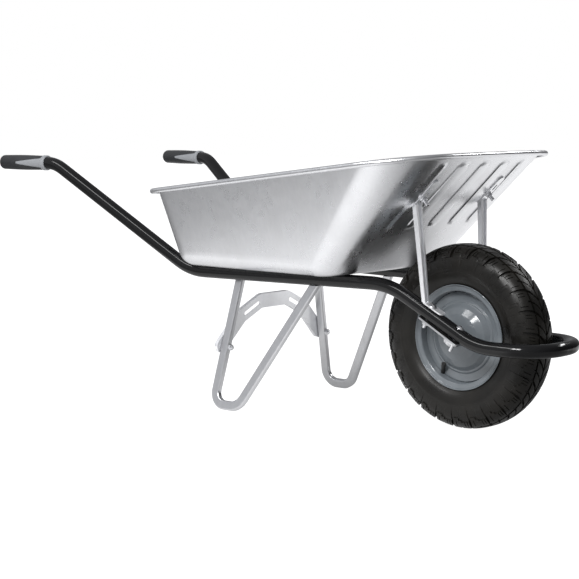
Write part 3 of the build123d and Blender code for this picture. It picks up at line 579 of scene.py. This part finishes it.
def half_outline(shrink, x_rear, x_front, half, r_rear, r_front):
    """Half of the tray's plan, from the middle of the front round to the middle of the rear."""
    x_rear, x_front, half = x_rear + shrink, x_front - shrink, half - shrink
    r_rear, r_front = r_rear - shrink, r_front - shrink
    bow_x = x_front - BOW_R
    corner_y = half - r_front
    corner_x = bow_x + sqrt((BOW_R - r_front) ** 2 - corner_y**2)
    turn = atan2(corner_y, corner_x - bow_x)
    bow = [(bow_x + sqrt(BOW_R**2 - y**2), y) for y in rib_columns()]
    tail = [turn + (pi / 2 - turn) * i / CORNER_SAMPLES for i in range(CORNER_SAMPLES + 1)]
    corner = [(corner_x + r_front * cos(a), corner_y + r_front * sin(a)) for a in tail]
    corner = [(x, y) for x, y in corner if y > bow[-1][1] + 0.01]
    corner = even_spread(bow[-1:] + corner, CORNER_STEPS)[1:]
    rear_x = x_rear + r_rear
    side = [(corner_x + (rear_x - corner_x) * i / SIDE_STEPS, half) for i in range(1, SIDE_STEPS + 1)]
    curve = [pi / 2 * (1 + i / REAR_CURVE_STEPS) for i in range(1, REAR_CURVE_STEPS + 1)]
    rear = [(rear_x + r_rear * cos(a), half - r_rear + r_rear * sin(a)) for a in curve]
    back = [(x_rear, (half - r_rear) * (1 - i / REAR_STEPS)) for i in range(1, REAR_STEPS + 1)]
    return bow + corner + side + rear + back


def rib_columns():
    """Distances from the middle, close together over each rib's edge, as far as the corner."""
    half_rib = (8.0, 14.3, 15.4, 16.3, 17.2, 19.0)
    across = (0.0, *half_rib, *(-a for a in half_rib))
    spread = [k * RIB_PITCH + a for k in range(3) for a in across]
    spread += [RIB_PITCH / 2, RIB_PITCH * 3 / 2]
    return [0.0] + sorted(y for y in spread if 0 < y < FRONT_REACH - 1) + [FRONT_REACH]


def even_spread(line, count):
    """The same line with `count` even steps."""
    lengths = [0.0]
    for a, b in zip(line, line[1:]):
        lengths.append(lengths[-1] + hypot(b[0] - a[0], b[1] - a[1]))
    spread = []
    k = 1
    for i in range(count + 1):
        at = lengths[-1] * i / count
        while k < len(line) - 1 and lengths[k] < at:
            k += 1
        f = (at - lengths[k - 1]) / (lengths[k] - lengths[k - 1])
        (x0, y0), (x1, y1) = line[k - 1], line[k]
        spread.append((x0 + (x1 - x0) * f, y0 + (y1 - y0) * f))
    return spread


def whole_outline(half):
    """Both halves in order round the tray, starting at the middle of the front."""
    return half + [(x, -y) for x, y in half[-2:0:-1]]


def on_rim(x, y):
    """A point of the tilted rim's own plane."""
    return Vector((x * cos(RIM_TILT), y, RIM_Z + x * sin(RIM_TILT)))


def arc_rows(first, corner, last, count):
    """Points of the round bend that touches first-corner and corner-last at its ends."""
    a, b = (first - corner).normalized(), (last - corner).normalized()
    weight = sin(a.angle(b) / 2)
    rows = []
    for i in range(count + 1):
        f = i / count
        w0, w1, w2 = (1 - f) ** 2, 2 * f * (1 - f) * weight, f * f
        rows.append((first * w0 + corner * w1 + last * w2) / (w0 + w1 + w2))
    return rows


def rib_rise(y, along, length):
    """How far the front wall stands out at `y` and at `along` of the wall's length."""
    nearest = round(y / RIB_PITCH) * RIB_PITCH
    if abs(nearest) > RIBS_EACH_SIDE * RIB_PITCH:
        return 0.0
    off = abs(y - nearest)
    low = (along - RIB_SPAN[0]) * length - RIB_HALF
    high = (RIB_SPAN[1] - along) * length - RIB_HALF
    past = max(0.0, -min(low, high))
    inside = RIB_HALF - hypot(off, past)
    return RIB_RISE * smooth_step(inside / RIB_EDGE)


def wall_steps():
    """Shares of the wall's height, close together where the ribs begin and end."""
    below = [0.06 * i for i in range(6)] + [0.35]
    rib_foot = [0.375 + 0.006 * i for i in range(14)]
    between = [0.5 + 0.06 * i for i in range(6)]
    rib_top = [0.86 + 0.006 * i for i in range(20)]
    return below + rib_foot + between + rib_top + [0.988, 1.0]


def tray_column(foot, top, edge, out):
    """Points up one line of the sheet: the floor's bend, the wall, the flange and the rolled edge."""
    climb = (top - foot).normalized()
    length = (top - foot).length
    bend = FLOOR_BEND * tan(out.angle(climb) / 2)
    low = foot + climb * bend
    lip_out = (edge - top).normalized()
    lip = LIP_BEND * tan(climb.angle(lip_out) / 2)
    high = top - climb * lip
    column = arc_rows(foot - out * bend, foot, low, FLOOR_BEND_STEPS)
    across = Vector((0, 0, 1)).cross(out).normalized()
    normal = climb.cross(across)
    if normal.dot(out) < 0:
        normal = -normal
    ribbed = out.x > FRONT_FACING and abs(foot.y) <= FRONT_REACH
    for s in wall_steps()[1:]:
        point = low + (high - low) * s
        rise = rib_rise(foot.y, (point - foot).length / length, length) if ribbed else 0.0
        column.append(point + normal * rise)
    column += arc_rows(high, top, top + lip_out * lip, LIP_BEND_STEPS)[1:]
    column.append(edge - lip_out * (BEAD_R + BEAD_LEAD))
    upright = Vector((-sin(RIM_TILT), 0, cos(RIM_TILT)))
    for i in range(ROLL_POINTS):
        turn = radians(ROLL_FROM - i * ROLL_STEP)
        column.append(edge + lip_out * (BEAD_R * cos(turn)) + upright * (BEAD_R * sin(turn)))
    return column


def make_tray():
    """One sheet: flat floor, round bend, sloping walls with pressed ribs, flange and rolled edge."""
    base = whole_outline(half_outline(0.0, **BASE))
    rim = whole_outline(half_outline(0.0, **RIM))
    wall_top = whole_outline(half_outline(FLANGE, **RIM))
    columns = []
    for k, (foot, top, edge) in enumerate(zip(base, wall_top, rim)):
        before, after = base[k - 1], base[(k + 1) % len(base)]
        out = Vector((after[1] - before[1], before[0] - after[0], 0)).normalized()
        columns.append(tray_column(Vector((*foot, TRAY_FLOOR_Z)), on_rim(*top), on_rim(*edge), out))
    rows = len(columns[0])
    points = [column[i] for i in range(rows) for column in columns]
    faces = grid_faces(rows, len(columns))
    faces.append(tuple(range(len(columns)))[::-1])
    tray = mesh_object("tray_pressed", points, faces, 40.0)
    sheet = tray.modifiers.new("sheet", "SOLIDIFY")
    sheet.thickness = SHEET * MM
    sheet.offset = INWARDS
    return tray


# ---------------------------------------------------------------- grips
LATHE_SEGMENTS = 72
GRIP_R = 18.5
GRIP_CAP = 4.0
SWELL_BELOW = 1.1
SWELL_RISE = 0.9
SWELL_SHAPE = 1.5
COLLAR_AT = 137.0
COLLAR_LONG = 12.0
INLAY_LONG = 80.0
INLAY_WIDE = 13.0
INLAY_NARROW = 2.5
INLAY_LIFT = 0.55
INLAY_ROOT = 1.2
INLAY_STEPS = (22, 11)
INLAY_ROUNDED = 0.2
TUBE_R = 15.0
BORE_PLAY = 0.1
END_HOLE_R = 0.4
DOME_R = 9.0
DOME_ROOT = 5.0
DOME_STEPS = 9
PALM_STEPS = 30
HANDLE_END_X = -741.0
HANDLE_Y = 281.5
TOE = 0.113
HANDLE_Z = 556.5


def lathe(name, outline, frame_of):
    """A closed (distance, radius) outline turned about a line."""
    points = []
    for distance, radius in outline:
        for k in range(LATHE_SEGMENTS):
            turn = 2 * pi * k / LATHE_SEGMENTS
            points.append(frame_of(distance, radius * cos(turn), radius * sin(turn)))
    return mesh_object(name, points, grid_faces(len(outline), LATHE_SEGMENTS, over=True))


def grip_frame(side):
    """Maps (distance from the handle's end, across, up) to the grip on one side."""
    along = Vector((1, -side * TOE, 0)).normalized()
    across = Vector((0, 0, 1)).cross(along).normalized()
    reach = GRIP_CAP * along.x + GRIP_R * abs(along.y)
    start = Vector((HANDLE_END_X + reach, side * HANDLE_Y, HANDLE_Z))
    return lambda distance, a, b: start + along * distance + across * a + Vector((0, 0, b))


def swell(distance):
    """The grip's radius: a soft palm swell between its end and its collar."""
    f = distance / COLLAR_AT
    return GRIP_R - SWELL_BELOW + SWELL_RISE * sin(pi * min(1.0, max(0.0, f))) ** SWELL_SHAPE


def pad_outline():
    """The soft part, with a domed end and an open bore, up to the collar."""
    line = [(-GRIP_CAP, END_HOLE_R)]
    for i in range(DOME_STEPS, -1, -1):
        turn = pi / 2 * i / DOME_STEPS
        radius = DOME_R + (swell(DOME_ROOT) - DOME_R) * cos(turn)
        line.append((-GRIP_CAP + DOME_R * (1 - sin(turn)), radius))
    for i in range(1, PALM_STEPS + 1):
        distance = DOME_ROOT + (COLLAR_AT - DOME_ROOT - 1.0) * i / PALM_STEPS
        line.append((distance, swell(distance)))
    end = COLLAR_AT - 0.4
    bore = TUBE_R + BORE_PLAY
    return line + [(end, swell(COLLAR_AT) - 0.6), (end, bore), (0.2, bore), (0.2, END_HOLE_R)]


def collar_outline():
    """The hard collar: rounded corners and one shallow groove round its middle."""
    end = COLLAR_AT + COLLAR_LONG
    r = GRIP_R
    bore = TUBE_R + BORE_PLAY
    return [
        (COLLAR_AT, bore), (COLLAR_AT, r - 1.2), (COLLAR_AT + 0.4, r - 0.4), (COLLAR_AT + 1.2, r),
        (COLLAR_AT + 4.5, r), (COLLAR_AT + 5.0, r - 0.5), (COLLAR_AT + 5.8, r - 0.5), (COLLAR_AT + 6.3, r),
        (end - 1.8, r), (end - 0.6, r - 0.5), (end, r - 1.6), (end, bore),
    ]


def make_inlay(name, frame_of, face):
    """A tapering light panel let into the grip, standing just proud of it, on the left or right face."""
    rows, columns = INLAY_STEPS
    shell = []
    for lift in (INLAY_LIFT, -INLAY_ROOT):
        for i in range(rows + 1):
            f = i / rows
            distance = COLLAR_AT + 0.2 - INLAY_LONG * f
            half = INLAY_WIDE + (INLAY_NARROW - INLAY_WIDE) * f
            for j in range(columns + 1):
                v = -1 + 2 * j / columns
                rim = max(abs(v) + INLAY_ROUNDED - 1, 0) / INLAY_ROUNDED
                radius = swell(distance) + (lift * (1 - 0.8 * rim**2) if lift > 0 else lift)
                turn = v * half / GRIP_R
                shell.append(frame_of(distance, face * radius * cos(turn), radius * sin(turn)))
    wide = columns + 1
    layer = (rows + 1) * wide
    top = grid_faces(rows + 1, wide, around=False)
    faces = top + [tuple(corner + layer for corner in quad[::-1]) for quad in top]
    border = list(range(columns)) + [i * wide + columns for i in range(rows)]
    border += [rows * wide + j for j in range(columns, 0, -1)] + [i * wide for i in range(rows, 0, -1)]
    for a, b in zip(border, border[1:] + border[:1]):
        faces.append((b, a, a + layer, b + layer))
    return mesh_object(name, shell, faces, 40.0)


def make_grip(side, name):
    """Pad, collar and two inlays of one grip."""
    frame_of = grip_frame(side)
    pad = lathe("grip_soft_" + name, pad_outline(), frame_of)
    collar = lathe("grip_collar_" + name, collar_outline(), frame_of)
    settle(pad, "frame", "grip_pad_" + name, grip_rubber)
    settle(collar, "frame", "grip_core_" + name, grip_plastic)
    for k, face in enumerate((1, -1)):
        inlay = make_inlay(f"grip_inlay_{name}_{k}", frame_of, face)
        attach(inlay, "frame")
        grip_plastic.on(inlay)


# ---------------------------------------------------------------- the barrow
make_camera()
make_studio()
for paint, names in FINISHES.items():
    paint.on(*(nodes[n] for n in names))
settle(make_tyre(), "wheel", "tyre", tyre_rubber)
settle(make_tray(), "frame", "tray", tray_sheet)
make_grip(1, "left")
make_grip(-1, "right")
